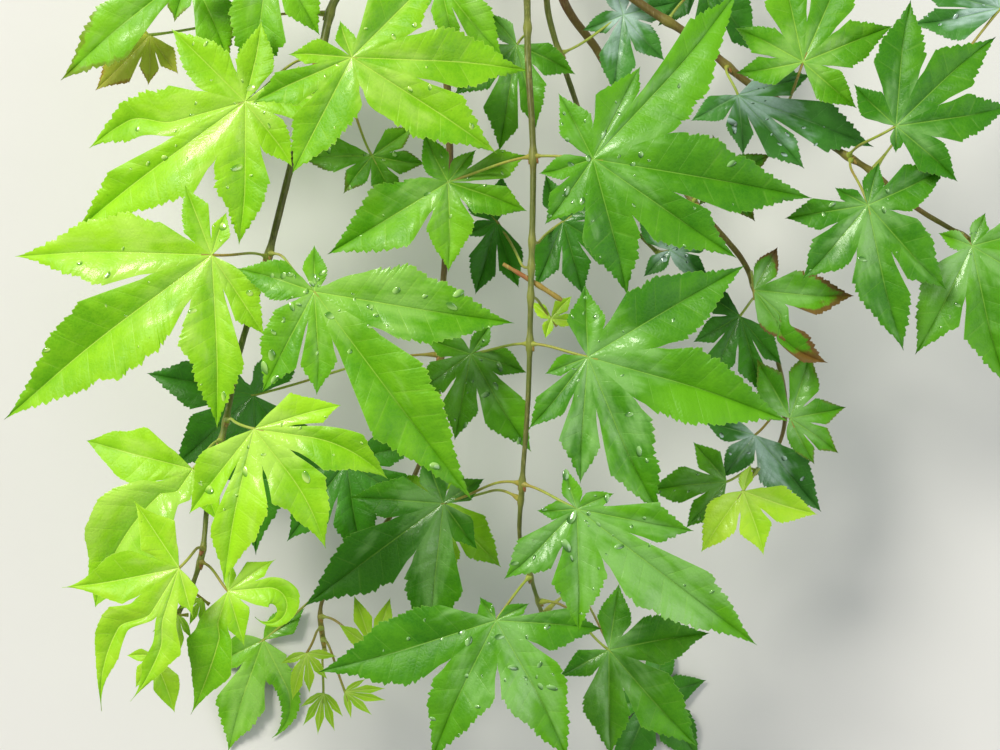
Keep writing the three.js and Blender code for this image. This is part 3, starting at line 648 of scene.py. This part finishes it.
class Shade:
    def __init__(self, name, **constants):
        self.material = bpy.data.materials.new(name)
        self.material.use_nodes = True
        self.tree = self.material.node_tree
        self.surface = self.tree.nodes["Principled BSDF"]
        for socket, value in constants.items():
            self.surface.inputs[socket.replace("_", " ")].default_value = value

    def node(self, kind, settings=None, inputs=(), output=0):
        # inputs is a list in socket order, or a dictionary by socket name; None skips a socket
        made = self.tree.nodes.new(kind)
        for key, value in (settings or {}).items():
            if key == "stops":
                ramp = made.color_ramp.elements
                while len(ramp) < len(value):
                    ramp.new(1)
                for element, (place, colour) in zip(ramp, value):
                    element.position = place
                    element.color = colour
            else:
                setattr(made, key, value)
        pairs = inputs.items() if isinstance(inputs, dict) else enumerate(inputs)
        for key, value in pairs:
            if isinstance(value, Value):
                self.tree.links.new(value.socket, made.inputs[key])
            elif value is not None:
                made.inputs[key].default_value = value
        return Value(self, made.outputs[output])

    def attribute(self, name):
        return self.node("ShaderNodeAttribute", {"attribute_name": name}, output="Fac")

    def place(self):
        return self.node("ShaderNodeTexCoord", output="Object")

    def noise(self, place, scale, detail=3.0, roughness=0.55):
        inputs = {"Vector": place, "Scale": scale, "Detail": detail, "Roughness": roughness}
        return self.node("ShaderNodeTexNoise", inputs=inputs)

    def mix(self, share, first, second):
        # a plain colour is given by its screen values, 0 to 255
        first, second = [colour(*end) if isinstance(end, tuple) else end for end in (first, second)]
        return self.node("ShaderNodeMix", {"data_type": "RGBA"}, {0: share, 6: first, 7: second}, output=2)

    def stretched(self, place, scale):
        return self.node("ShaderNodeMapping", inputs={"Vector": place, "Scale": scale})

    def bump(self, height, distance, strength):
        inputs = {"Height": height, "Distance": distance, "Strength": strength}
        return self.node("ShaderNodeBump", inputs=inputs)

    def feed(self, **sockets):
        for name, value in sockets.items():
            self.tree.links.new(value.socket, self.surface.inputs[name.replace("_", " ")])
        return self.material


def colour(red, green, blue):
    # screen values, 0 to 255, to the linear ones that the shader takes
    linear = [((part / 255 + 0.055) / 1.055) ** 2.4 for part in (red, green, blue)]
    return (*linear, 1)


# Leaf finishes: the blade where it is full and where it is thin, its ribs, its painted sheen, the
# painted shade in the crease beside its ribs, and how wet it is
tintKeys = ("full", "thin", "rib", "paintedLight", "paintedShade", "wet")
leafTints = {
    "lime": ((108, 178, 6), (164, 224, 30), (206, 232, 104), (206, 240, 120), (88, 146, 10), 0.5),
    "fresh": ((80, 152, 4), (130, 198, 24), (178, 220, 88), (170, 218, 112), (62, 118, 10), 0.6),
    "mid": ((54, 124, 3), (100, 172, 14), (150, 200, 80), (146, 198, 112), (40, 88, 8), 0.75),
    "deep": ((34, 94, 8), (68, 142, 18), (104, 160, 58), (104, 162, 88), (22, 62, 8), 0.5),
    "young": ((142, 206, 20), (188, 232, 50), (220, 242, 120), (222, 246, 140), (116, 172, 20), 0.35),
    "wet": ((34, 98, 20), (78, 146, 52), (134, 186, 110), (190, 218, 208), (24, 66, 20), 1.0),
    "old": ((196, 204, 58), (224, 222, 92), (222, 214, 124), (226, 222, 150), (120, 116, 40), 0.1),
}


def leafMaterial(tint):
    finish = dict(zip(tintKeys, leafTints[tint]))
    shade = Shade("leaf_" + tint, Specular_IOR_Level=0.3, Coat_Roughness=0.07, Coat_IOR=1.4)
    place = shade.place()
    names = ("rib", "vein", "margin", "reach", "tone", "half")
    rib, vein, margin, reach, tone, half = [shade.attribute(name) for name in names]

    cloud = shade.noise(place, 48.0)
    mottle = shade.noise(place, 260.0, 4.0, 0.6)
    speck = shade.noise(place, 1500.0, 2.0)
    # half adds painted light and shade of the fold, one side of each lobe lighter than the other
    thin = cloud.rise(0.34, 0.66) * 0.4 + tone * 0.7 + mottle.rise(0.36, 0.66) * 0.2 + half * 0.3 - 0.25
    full = shade.mix(thin, finish["full"], finish["thin"])

    # side veins lie at whole numbers of the vein value, the fine net between them
    phase = vein.maths("FRACT")
    offVein = (phase - 0.5).maths("ABSOLUTE")
    sideVein = offVein.rise(0.46, 0.5) * rib.rise(0.2, 1.4) * margin.rise(0.75, 0.95, 1.0, 0.0)
    edges = {"Vector": place, "Scale": 780.0}
    net = shade.node("ShaderNodeTexVoronoi", {"feature": "DISTANCE_TO_EDGE"}, edges)
    netLine = net.rise(0.0, 0.16, 1.0, 0.0)
    midrib = rib.rise(0.08, 0.3, 1.0, 0.0) * reach.rise(0.6, 0.95, 1.0, 0.3)
    # painted shade in the crease beside each midrib
    beside = rib.rise(0.3, 1.2, 1.0, 0.0) * reach.rise(0.05, 0.3)
    edge = margin.rise(0.97, 1.0)

    # painted sheen, a pale reflection on wet skin: most round the foot and drawn out along each lobe
    across = shade.attribute("across") * 0.2
    along = shade.attribute("along") * 0.06
    streaks = shade.node("ShaderNodeCombineXYZ", inputs=[across, along, shade.attribute("lobe") * 3.7])
    drawn = shade.noise(streaks, 1.0)
    filmAndPaintedSheen = drawn * 0.9 + cloud * 0.4 + reach * -0.34 + margin * -0.06 + shade.attribute("sheen")
    filmAndPaintedSheen = filmAndPaintedSheen.rise(0.42, 0.78 - 0.1 * finish["wet"])
    # the pale colour mixed in here is painted sheen; the same mask also sets the real coat and roughness
    painted = shade.mix(filmAndPaintedSheen * (0.85 * finish["wet"]), full, finish["paintedLight"])
    painted = shade.mix(netLine * 0.1, painted, finish["thin"])
    painted = shade.mix(sideVein * 0.14, painted, finish["rib"])
    painted = shade.mix(edge * 0.4, painted, finish["rib"])
    painted = shade.mix(beside * 0.14, painted, finish["paintedShade"])
    # on green tints the midrib turns to painted crease shade towards the tip
    end = finish["rib"] if tint in ("lime", "young", "old") else finish["paintedShade"]
    ribThenCreaseShade = shade.mix(reach.rise(0.32, 0.8), finish["rib"], end)
    painted = shade.mix(midrib * 0.48, painted, ribThenCreaseShade)
    blotch = shade.noise(place, 140.0, 5.0, 0.7)
    if tint == "old":
        rust = (blotch * 0.7 + reach * 0.4 + margin.rise(0.7, 1.0) * 0.14).rise(0.7, 0.86)
        painted = shade.mix(rust * 0.8, painted, (176, 118, 50))
    else:
        # tips and edges that have begun to brown on a few leaves
        rust = shade.attribute("rust")
        burnt = blotch * 0.5 + reach * 0.55 + margin.rise(0.6, 1.0) * 0.16 + rust * 0.12
        rust = rust * burnt.rise(0.74, 0.84)
        painted = shade.mix(rust * 0.9, painted, shade.mix(mottle, (72, 42, 18), (140, 92, 42)))
        fleck = shade.noise(place, 480.0, 2.0).rise(0.73, 0.78) * blotch.rise(0.5, 0.6)
        painted = shade.mix(fleck * 0.4, painted, (70, 84, 24))

    dryRoughness, wetRoughness = 0.46, 0.22
    rough = filmAndPaintedSheen * (wetRoughness - dryRoughness) + dryRoughness + (mottle - 0.5) * 0.16
    relief = net.rise(0.0, 0.3) * 0.4 + speck * 0.3 + mottle * 0.6 - midrib * 0.8 - sideVein * 0.5
    normal = shade.bump(relief, 0.0002, 0.42)
    coat = filmAndPaintedSheen * (0.6 * finish["wet"])
    return shade.feed(Base_Color=painted, Roughness=rough, Coat_Weight=coat, Normal=normal)


# Bark of the woody stems, and the smoother skin of green shoots and stalks: where it is young,
# where it has aged, its pores and streaks, and beside each stalk
barkKeys = ("young", "aged", "mark", "joint")
barkFinish = {
    "bark": ((106, 104, 34), (94, 62, 34), (150, 138, 78), (150, 146, 58)),
    "twig": ((98, 118, 34), (88, 88, 32), (166, 164, 90), (146, 152, 62)),
    "stalk": ((158, 178, 62), (154, 92, 50), (190, 196, 110), (158, 178, 62)),
}


def barkMaterial(name):
    finish = dict(zip(barkKeys, barkFinish[name]))
    shade = Shade(name, Specular_IOR_Level=0.45)
    place = shade.place()
    along = shade.stretched(place, (1.0, 0.22, 0.6))
    patch = shade.noise(place, 45.0, 4.0)
    fibre = shade.noise(along, 1900.0, 4.0, 0.65)
    ageing = shade.attribute("ageing")
    aged = (patch.rise(0.42, 0.66) * 0.6 + ageing * 0.7).maths("MINIMUM", 1.0)
    painted = shade.mix(aged, finish["young"], finish["aged"])
    painted = shade.mix(fibre.rise(0.48, 0.7) * 0.35, painted, finish["mark"])
    painted = shade.mix(shade.attribute("joint") * 0.7, painted, finish["joint"])
    cells = shade.node("ShaderNodeTexVoronoi", inputs={"Vector": along, "Scale": 620.0})
    lenticel = cells.rise(0.1, 0.2, 1.0, 0.0)
    painted = shade.mix(lenticel * 0.55, painted, finish["mark"])
    shadow = shade.noise(place, 900.0).rise(0.58, 0.72)
    painted = shade.mix(shadow * 0.3, painted, (70, 58, 34))
    relief = fibre * 0.6 + lenticel * 0.8
    normal = shade.bump(relief, 0.00012, 0.8)
    return shade.feed(Base_Color=painted, Roughness=0.34 + fibre * 0.3, Normal=normal)


stalkShape = {
    "radius": 0.4,
    "footSwell": 0.2,
    "footReach": (0.16, 0),
    "stemSwell": 0.62,
    "stemReach": (0.9, 1),
    "startOut": 0.6,
    "sink": 3,
    "reach": 0.35,
    "depth": 0.45,
    "sides": 10,
    "steps": 30,
    "curveSteps": 40,
}


def stalkLine(leaf, stem):
    x, y = leaf["at"]
    slope = leaf.get("slope", (0, 0))
    level = leaf["level"] - stalkShape["depth"]
    sink = Vector((x - leaf["root"][0], y - leaf["root"][1])).normalized() * stalkShape["sink"]
    inside = truePlace(x + sink.x, y + sink.y, level + slope[0] * sink.x + slope[1] * sink.y)
    foot = truePlace(x, y, level)
    spot = placeOnStem(stem, leaf["root"])
    out = foot - spot["point"]
    out = (out - spot["along"] * out.dot(spot["along"])).normalized()
    start = spot["point"] + out * spot["radius"] * stalkShape["startOut"] * mm
    reach = (foot - start).length * stalkShape["reach"]
    back = (foot - inside).normalized()
    line = [inside]
    for step in range(stalkShape["curveSteps"] + 1):
        t = step / stalkShape["curveSteps"]
        line.append(
            foot * (1 - t) ** 3 + (foot + back * reach) * 3 * t * (1 - t) ** 2
            + (start + out * reach) * 3 * t * t * (1 - t) + start * t ** 3
        )
    return evenSteps(line, stalkShape["steps"]), spot, out


def stalkRadius(share):
    atFoot = stalkShape["footSwell"] * smooth(*stalkShape["footReach"], share)
    atStem = stalkShape["stemSwell"] * smooth(*stalkShape["stemReach"], share)
    return stalkShape["radius"] + atFoot + atStem


budShape = {
    "length": 1.5,
    "width": 0.75,
    "lean": 0.55,
    "taper": 0.45,
    "out": 0.85,
    "onward": 0.9,
    "ageing": 0.9,
}


def addBud(made, spot, out):
    # a small pointed bud in the angle between stalk and stem
    along = (spot["along"] + out * budShape["lean"]).normalized()
    fresh = bmesh.ops.create_icosphere(made, subdivisions=2, radius=1)["verts"]
    turn = along.to_track_quat("Z", "Y").to_matrix()
    base = spot["point"] + out * spot["radius"] * budShape["out"] * mm
    base += spot["along"] * budShape["onward"] * mm
    for vert in fresh:
        x, y, z = vert.co
        width = budShape["width"] * (1 - budShape["taper"] * smooth(0, 1, z))
        shape = Vector((x * width, y * width, z * budShape["length"]))
        vert.co = base + turn @ shape * mm


# A short dead twig that crosses a shoot, from one end to the other, seen from above
deadTwig = {
    "crosses": "centre_shoot",
    "places": ((0.9, 33.3, -1.6), (9.2, 28.4, -1.2), (18.6, 22.4, -0.4)),
    "radii": (0.55, 0.75),
    "thickFrom": 0.5,
    "uneven": 0.3,
    "unevenSize": (9, 4.1),
    "taper": 0.4,
    "taperFrom": 0.94,
    "steps": 24,
    "sides": 12,
}


def addTwig(made, stem):
    middle = placeOnStem(stem, deadTwig["places"][1][:2])["point"].z / mm
    places = [truePlace(x, y, middle + lift) for x, y, lift in deadTwig["places"]]
    size, seed = deadTwig["unevenSize"]

    def radius(share):
        thick = blend(*deadTwig["radii"], smooth(0, deadTwig["thickFrom"], share))
        thick *= 1 + deadTwig["uneven"] * noise.noise(Vector((share * size, seed, 0)))
        return thick * (1 - deadTwig["taper"] * smooth(deadTwig["taperFrom"], 1, share))

    tube(made, curveThrough(places, deadTwig["steps"]), radius, deadTwig["sides"])


def paintAgeing(made, stem):
    # older and browner towards the carrier, and paler beside each stalk
    ageing = made.verts.layers.float.new("ageing")
    joint = made.verts.layers.float.new("joint")
    places = stem["line"][::stemShape["paintEvery"]]
    reach = stemShape["jointReach"] * mm
    for vert in made.verts:
        nearest = min(range(len(places)), key=lambda index: (places[index] - vert.co).length_squared)
        vert[ageing] = 1 - nearest / (len(places) - 1)
        away = min([(spot["point"] - vert.co).length for spot in stem["spots"]] or [1])
        vert[joint] = math.exp(-(away / reach) ** 2)


def stemPiece(name, stem):
    made = bmesh.new()
    length = lengthOf(stem["line"]) / mm
    seed = len(name) * stemShape["seedStep"]
    size, lengthwise = stemShape["knotSize"]

    def relief(turn, share):
        ridges = sum(
            math.sin(turn * count + seed * differ + share * twist) * height
            for count, differ, twist, height in stemShape["ridges"]
        )
        place = Vector((math.cos(turn) * size, math.sin(turn) * size, share * length * lengthwise + seed))
        bark = ridges * stemShape["ridge"] + noise.noise(place) * stemShape["knot"]
        away = [(share - spot["share"]) * length / stemShape["swellReach"] for spot in stem["spots"]]
        swell = sum(math.exp(-distance ** 2) for distance in away)
        bark *= min(stemShape["reliefUpTo"], stem["radii"][0]) * stemShape["relief"]
        return bark + stemShape["swell"] * min(swell, stemShape["mostSwell"])

    def radius(share):
        taper = 0 if name == "main_stem" else stemShape["tipTaper"]
        return blend(*stem["radii"], share) * (1 - taper * smooth(stemShape["tipFrom"], 1, share))

    tube(made, stem["line"], radius, stemShape["sides"], relief)
    paintAgeing(made, stem)
    bmesh.ops.recalc_face_normals(made, faces=made.faces)
    return finished(name + "_bark", made, materials[stem["tint"]], stemShape["sharpAngle"])


# Drops are rarer the larger they are
dropShape = {
    "least": 0.3,
    "rarity": 2.2,
    "fineAbove": 0.9,
    "bulge": 0.2,
    "bulgeSize": 0.9,
    "seeds": 90,
    "steepest": 0.5,
    "longLobe": 20,
    "longShare": 2,
    "rayStart": 15,
    "height": 0.34,
    "sink": 0.1,
    "longest": 2.1,
    "reach": (0.1, 0.92),
    "edge": 0.86,
    # the level way towards the key light, for the painted light on each bead
    "lift": Vector((-0.62, 0.62, 0)),
}

# Rain drops, by leaf: how many, and their largest radius
drops = {
    "left_leaf_4": (47, 1.1), "left_leaf_2": (25, 1.1), "left_leaf_1": (30, 1.0), "left_leaf_3": (12, 0.8),
    "left_leaf_9": (22, 1.2), "left_leaf_5": (11, 0.8), "left_leaf_6": (8, 0.8), "centre_leaf_3": (36, 0.9),
    "centre_leaf_8": (22, 0.9), "centre_leaf_11": (33, 1.2), "centre_leaf_12": (36, 1.0),
    "centre_leaf_2": (14, 0.8), "centre_leaf_7": (16, 0.9), "right_leaf_2": (22, 1.0),
    "right_leaf_5": (14, 0.8), "right_leaf_7": (11, 0.9), "inner_leaf_2": (19, 1.1),
    "right_leaf_6": (11, 0.9), "right_rear_leaf_5": (11, 0.9), "right_rear_leaf_7": (9, 0.8),
}


def addDrop(made, layer, leaf, most):
    # a bead with a flat foot, drawn out a little, set square on the blade below it
    large = [lobe for lobe in lobesOf(leaf) if lobe["length"] > dropShape["longLobe"]]
    lobe = random.choice(lobesOf(leaf) + large * dropShape["longShare"])
    along = lobe["length"] * random.uniform(*dropShape["reach"])
    side = lobe["half"] * random.uniform(-1, 1) * dropShape["edge"]
    dx = math.cos(lobe["angle"]) * along - math.sin(lobe["angle"]) * side
    dy = math.sin(lobe["angle"]) * along + math.cos(lobe["angle"]) * side
    above = truePlace(leaf["at"][0] + dx, leaf["at"][1] + dy, leaf["level"] + dropShape["rayStart"])
    spot, normal = leaf["surface"].ray_cast(above, Vector((0, 0, -1)))[:2]
    least = dropShape["least"]
    radius = (least + (most - least) * random.random() ** dropShape["rarity"]) * mm
    turn = random.uniform(0, math.tau)
    drawn = random.uniform(1, dropShape["longest"])
    seed = random.uniform(0, dropShape["seeds"])
    if spot is None or normal.z < dropShape["steepest"]:
        return
    square = normal.to_track_quat("Z", "Y").to_matrix()
    fine = 3 if radius > dropShape["fineAbove"] * mm else 2
    fresh = bmesh.ops.create_icosphere(made, subdivisions=fine, radius=1)["verts"]
    for vert in fresh:
        place = vert.co * dropShape["bulgeSize"] + Vector((seed, 0, 0))
        x, y, z = vert.co * (1 + dropShape["bulge"] * noise.noise(place))
        x *= drawn
        x, y = x * math.cos(turn) - y * math.sin(turn), x * math.sin(turn) + y * math.cos(turn)
        tall = dropShape["height"] if z > 0 else dropShape["sink"]
        # painted light: low on the side towards the key light, high on the far side
        vert[layer] = 0.5 - 0.5 * vert.co.dot(dropShape["lift"])
        vert.co = spot + square @ Vector((x, y, z * tall)) * radius


def dropMaterial(tint):
    # painted light: the opaque bead shows the leaf darker towards the key light and brighter away from it
    finish = dict(zip(tintKeys, leafTints[tint]))
    wet = {"Specular_IOR_Level": 0.9, "Roughness": 0.05, "Coat_Weight": 0.6, "Coat_Roughness": 0.03}
    shade = Shade("drop_" + tint, **wet)
    lens = shade.attribute("lens")
    deep = shade.mix(0.5, finish["full"], finish["paintedShade"])
    return shade.feed(Base_Color=shade.mix(lens.rise(0.15, 0.85), deep, finish["paintedLight"]))


materials = {"leaf_" + tint: leafMaterial(tint) for tint in leafTints}
materials.update({name: barkMaterial(name) for name in barkFinish})
print("materials:", len(materials))

camera = placed("camera", bpy.data.cameras.new("camera"))
camera.data.sensor_width = view["sensor"]
camera.data.lens = view["sensor"] * view["eyeDistance"] / view["pictureWidth"]
camera.data.clip_start = view["clipStart"]
eyeHeight = view["midLevel"] + view["eyeDistance"]
camera.location = Vector((-view["boxMiddle"][0], -view["boxMiddle"][1], eyeHeight)) * mm
bpy.context.scene.camera = camera

for stem in stems.values():
    stem["line"] = stemLine(stem)
    stem["spots"] = []

# Blades, each its own piece, and the stalks and buds of each stem together
for stemName, stemLeaves in leaves.items():
    stem = stems[stemName]
    stalks = bmesh.new()
    buds = bmesh.new()
    for number, leaf in enumerate(stemLeaves, 1):
        node = f"{stemName.replace('_shoot', '').replace('_stem', '')}_leaf_{number}"
        leaf["node"] = node
        if leaf.get("rests"):
            leaf["level"] = restLevel(leaf)
        blade = bladePiece(node + "_blade", leaf)
        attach(blade, "root")
        if not leaf.get("extra"):
            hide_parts(node)
        "leaf_" + leaf["tint"]
        line, spot, out = stalkLine(leaf, stem)
        tube(stalks, line, stalkRadius, stalkShape["sides"])
        addBud(buds, spot, out)
        stem["spots"].append(spot)
    stalks.verts.layers.float.new("ageing")
    bmesh.ops.recalc_face_normals(stalks, faces=stalks.faces)
    stalkPiece = finished(stemName + "_stalks", stalks, materials["stalk"])
    if stemName == deadTwig["crosses"]:
        addTwig(buds, stem)
    layer = buds.verts.layers.float.new("ageing")
    for vert in buds.verts:
        vert[layer] = budShape["ageing"]
    budPiece = finished(stemName + "_buds", buds, materials["stalk"])
    for piece in (stalkPiece, budPiece):
        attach(piece, "root")
    print("leaves of", stemName, len(stemLeaves))

# Drops in one piece for each tint
for tint in leafTints:
    made = bmesh.new()
    layer = made.verts.layers.float.new("lens")
    for leaf in [leaf for stemLeaves in leaves.values() for leaf in stemLeaves]:
        if leaf["tint"] == tint and leaf["node"] in drops:
            random.seed("drops " + leaf["node"])
            count, most = drops[leaf["node"]]
            for drop in range(count):
                addDrop(made, layer, leaf, most)
    if made.verts:
        piece = finished("drops_" + tint, made, dropMaterial(tint))
        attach(piece, "root")
    else:
        made.free()
print("drops ready")

for name, stem in stems.items():
    piece = stemPiece(name, stem)
    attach(piece, "root")
    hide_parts(name)
print("stems:", len(stems))


# The plain floor and the soft light round it, in metres
studio = {
    "floor": 1.6,
    "floorColour": (226, 225, 220),
    "world": (0.94, 0.97, 1.0, 1),
    "worldStrength": 0.38,
    "aim": Vector((0, 0, 0.05)),
    "lights": {
        "key": {"at": (-0.74, 0.74, 1.15), "size": 0.66, "power": 22.5, "colour": (1.0, 0.97, 0.9)},
        "fill": {"at": (0.8, -0.2, 0.7), "size": 0.9, "power": 3.4, "colour": (0.96, 0.98, 1.0)},
    },
}


def floorMaterial():
    shade = Shade("floor", Roughness=0.7)
    place = shade.place()
    grain = shade.noise(place, 60.0, 5.0)
    painted = shade.mix(grain * 0.12, studio["floorColour"], (205, 204, 200))
    return shade.feed(Base_Color=painted)


floor = bmesh.new()
bmesh.ops.create_grid(floor, x_segments=4, y_segments=4, size=studio["floor"])
floorPiece = finished("floor", floor, floorMaterial())

world = bpy.data.worlds.new("studio")
world.use_nodes = True
background = world.node_tree.nodes["Background"].inputs
background["Color"].default_value = studio["world"]
background["Strength"].default_value = studio["worldStrength"]
bpy.context.scene.world = world
bpy.context.scene.view_settings.view_transform = "Standard"

for name, setting in studio["lights"].items():
    light = bpy.data.lights.new(name, "AREA")
    light.shape = "DISK"
    light.size = setting["size"]
    light.energy = setting["power"]
    light.color = setting["colour"]
    lamp = placed(name, light)
    lamp.location = setting["at"]
    aim = studio["aim"] - lamp.location
    lamp.rotation_euler = aim.to_track_quat("-Z", "Y").to_euler()
print("studio ready")
